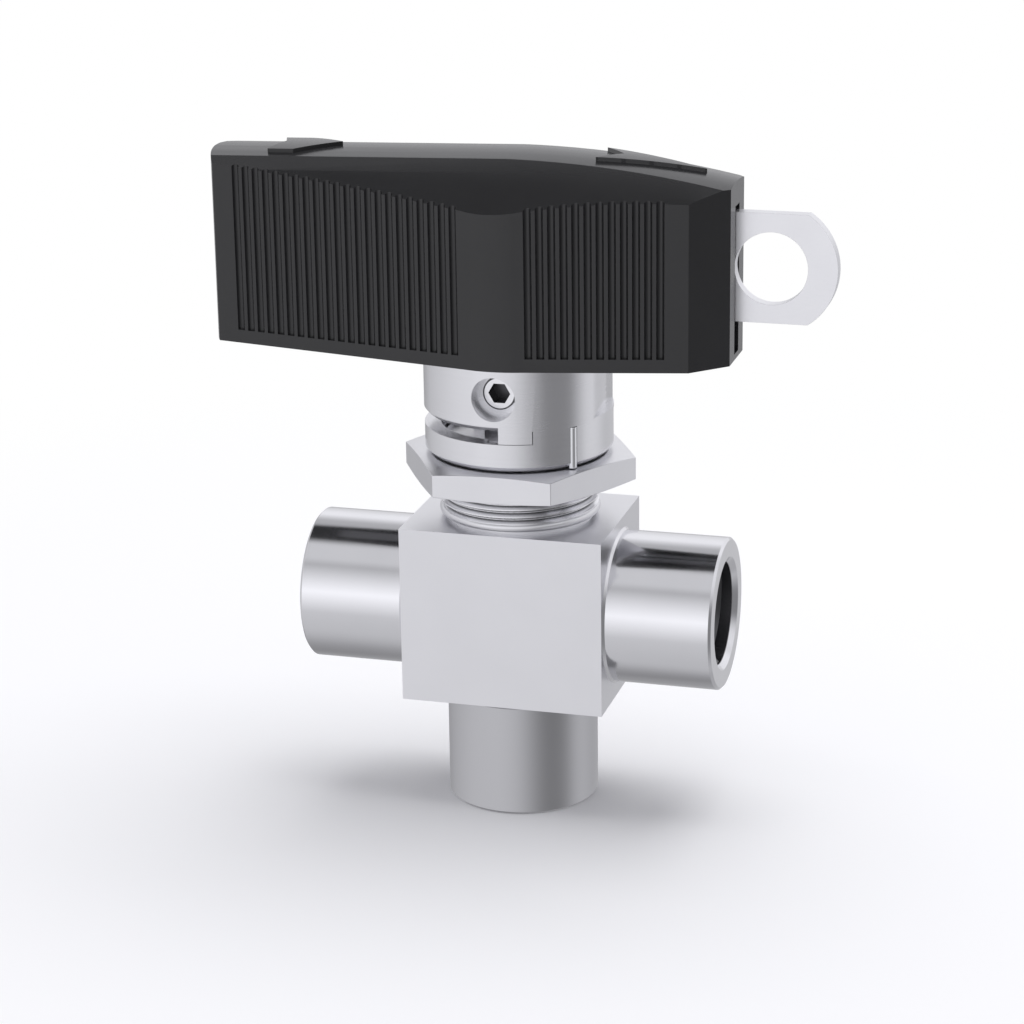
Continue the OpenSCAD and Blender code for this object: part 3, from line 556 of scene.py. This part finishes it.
FLOOR_R = 3.0
FADE_FROM = 0.05
FADE_TO = 0.20
floor_finish = Finish("studio_floor", Roughness=0.9)
floor_finish.shader.inputs["Specular IOR Level"].default_value = 0.0
floor_finish.shader.inputs["Base Color"].default_value = (0.92, 0.92, 0.94, 1)
work = bmesh.new()
bmesh.ops.create_circle(work, cap_ends=True, segments=96, radius=FLOOR_R)
mesh = bpy.data.meshes.new("studio_floor")
work.to_mesh(mesh)
work.free()
mesh.materials.append(floor_finish.material)
floor = placed("studio_floor", mesh)
floor.location = (0, 0, -0.02 * MM)
floor.visible_glossy = False
tree = floor_finish.tree
glow = tree.nodes.new("ShaderNodeEmission")
glow.inputs["Color"].default_value = (1, 1, 1, 1)
here = floor_finish.node("ShaderNodeTexCoord", output="Object")
far = floor_finish.node("ShaderNodeVectorMath", {"operation": "LENGTH"}, {0: here}, output="Value")
fade = floor_finish.step(far, FADE_FROM, FADE_TO)
seen = floor_finish.node("ShaderNodeLightPath", output="Is Camera Ray")
veil = tree.nodes.new("ShaderNodeMixShader")
tree.links.new((fade * seen).socket, veil.inputs[0])
tree.links.new(floor_finish.shader.outputs[0], veil.inputs[1])
tree.links.new(glow.outputs[0], veil.inputs[2])
clear = tree.nodes.new("ShaderNodeBsdfTransparent")
from_below = tree.nodes.new("ShaderNodeMixShader")
under = floor_finish.node("ShaderNodeNewGeometry", output="Backfacing")
tree.links.new((under * seen).socket, from_below.inputs[0])
tree.links.new(veil.outputs[0], from_below.inputs[1])
tree.links.new(clear.outputs[0], from_below.inputs[2])
tree.links.new(from_below.outputs[0], tree.nodes["Material Output"].inputs[0])

world = bpy.data.worlds.new("studio")
bpy.context.scene.world = world
world.use_nodes = True


class Room(Finish):
    """The world's nodes, made in the same way."""

    def __init__(self, world):
        self.tree = world.node_tree

    def round_about(self, turn, stops):
        """Colour by an angle in degrees, where turn is the same angle in radians."""
        return self.node("ShaderNodeValToRGB",
                         {"stops": [((angle + 180) / 360, colour) for angle, colour in stops]},
                         {0: turn * (1 / (2 * pi)) + 0.5})


STEEL_SHOWS = 0.79
COOL = 1.03


def grey(level):
    """Linear strength of a grey that shows as level of 255 on steel."""
    shown = level / 255
    linear = ((shown + 0.055) / 1.055) ** 2.4 / STEEL_SHOWS
    return linear, linear, COOL * linear


GAP = 12
CURTAIN = 122
DIM = 170
CEILING = 195
WALL = 205
PLAIN = 217
SIDE = 220
BRIGHT = 230
STRIP = 250


def share(level):
    """Part of the plain wall's strength that a surface has."""
    return tuple(part / whole for part, whole in zip(grey(level), grey(PLAIN)))


room = Room(world)
way = room.node("ShaderNodeTexCoord", output="Generated")
way_x, way_y, way_z = (room.node("ShaderNodeSeparateXYZ", None, {0: way}, output=axis)
                       for axis in "XYZ")
# From the floor at the back, forwards under the object and up over the top: dim floor, strip
# lamp on the front horizon, ceiling, dark gap straight overhead, dim then bright behind it
over_colour = room.round_about(
    way_z.math("ARCTAN2", 0.0 - way_y),
    [(-180, share(WALL)), (-130, share(DIM)), (-90, share(DIM)), (-30, share(CEILING)),
     (3, share(STRIP)), (44, share(DIM)), (54, share(CEILING)), (78, share(CEILING)),
     (89, share(GAP)), (109, share(GAP)), (119, share(DIM)), (128, share(DIM)),
     (145, share(BRIGHT))])
sideways = room.step(way_x.math("ABSOLUTE"), 0.55, 0.85)
over_share = room.blend(sideways, over_colour, (1, 1, 1, 1))
# Round the walls from the back, by the left: dim corner, bright left side, pale front, dark
# curtain on the right
wall_colour = room.round_about(
    way_x.math("ARCTAN2", 0.0 - way_y),
    [(-180, grey(WALL)), (-145, grey(DIM)), (-35, grey(SIDE)), (8, grey(WALL)),
     (48, grey(CURTAIN)), (80, grey(CURTAIN)), (104, grey(WALL)), (180, grey(WALL))])
high = room.step(way_z, 0.0, 0.5)
wall = room.blend(high, wall_colour, (*grey(PLAIN), 1))
mirror_room = room.node("ShaderNodeMix", {"data_type": "RGBA", "blend_type": "MULTIPLY"},
                        {"Factor": 1.0, 6: wall, 7: over_share}, output=2)
shiny = room.node("ShaderNodeLightPath", output="Is Glossy Ray")
camera_ray = room.node("ShaderNodeLightPath", output="Is Camera Ray")
plain_light = room.blend(room.step(way_z, 0.2, 0.9), (0.05, 0.05, 0.052, 1),
                         (0.75, 0.75, 0.776, 1))
level = room.blend(camera_ray, plain_light, (1, 1, 1, 1))
shown = room.blend(shiny, level, mirror_room)
background = room.tree.nodes["Background"]
room.tree.links.new(shown.socket, background.inputs["Color"])
background.inputs["Strength"].default_value = 1.0


def soft_lamp(name, place, target, size, power, shadow):
    """Round lamp that points at a target and isn't mirrored in the steel."""
    lamp = bpy.data.lights.new(name, "AREA")
    lamp.shape = "DISK"
    lamp.size = size
    lamp.energy = power
    lamp.use_shadow = shadow
    holder = placed(name, lamp)
    holder.location = place
    aim = Vector(target) - Vector(place)
    holder.rotation_euler = aim.to_track_quat("-Z", "Y").to_euler()
    holder.visible_glossy = False


soft_lamp("overhead_lamp", (0.03, 0.09, 0.50), (0, 0, 0), 0.46, 1.65, True)
soft_lamp("front_left_lamp", (-0.45, -0.55, 0.55), (0, 0, 0.05), 0.35, 0.5, False)

camera = bpy.data.cameras.new("photo_camera")
camera.lens = 107.09
camera.sensor_width = 36
camera.clip_start = 0.01
camera.dof.use_dof = False
CAMERA_TURN = radians(16.053)
CAMERA_TILT = radians(18.2)
CAMERA_ROLL = radians(-0.837)
CAMERA_PLACE = Vector((96.26, -338.28, 151.58)) * MM
aimed = (Matrix.Rotation(CAMERA_TURN, 4, "Z") @ Matrix.Rotation(pi / 2 - CAMERA_TILT, 4, "X")
         @ Matrix.Rotation(CAMERA_ROLL, 4, "Z"))
holder = placed("photo_camera", camera)
holder.matrix_world = Matrix.Translation(CAMERA_PLACE) @ aimed
bpy.context.scene.camera = holder

bpy.context.scene.view_settings.view_transform = "Standard"

bpy.context.view_layer.update()
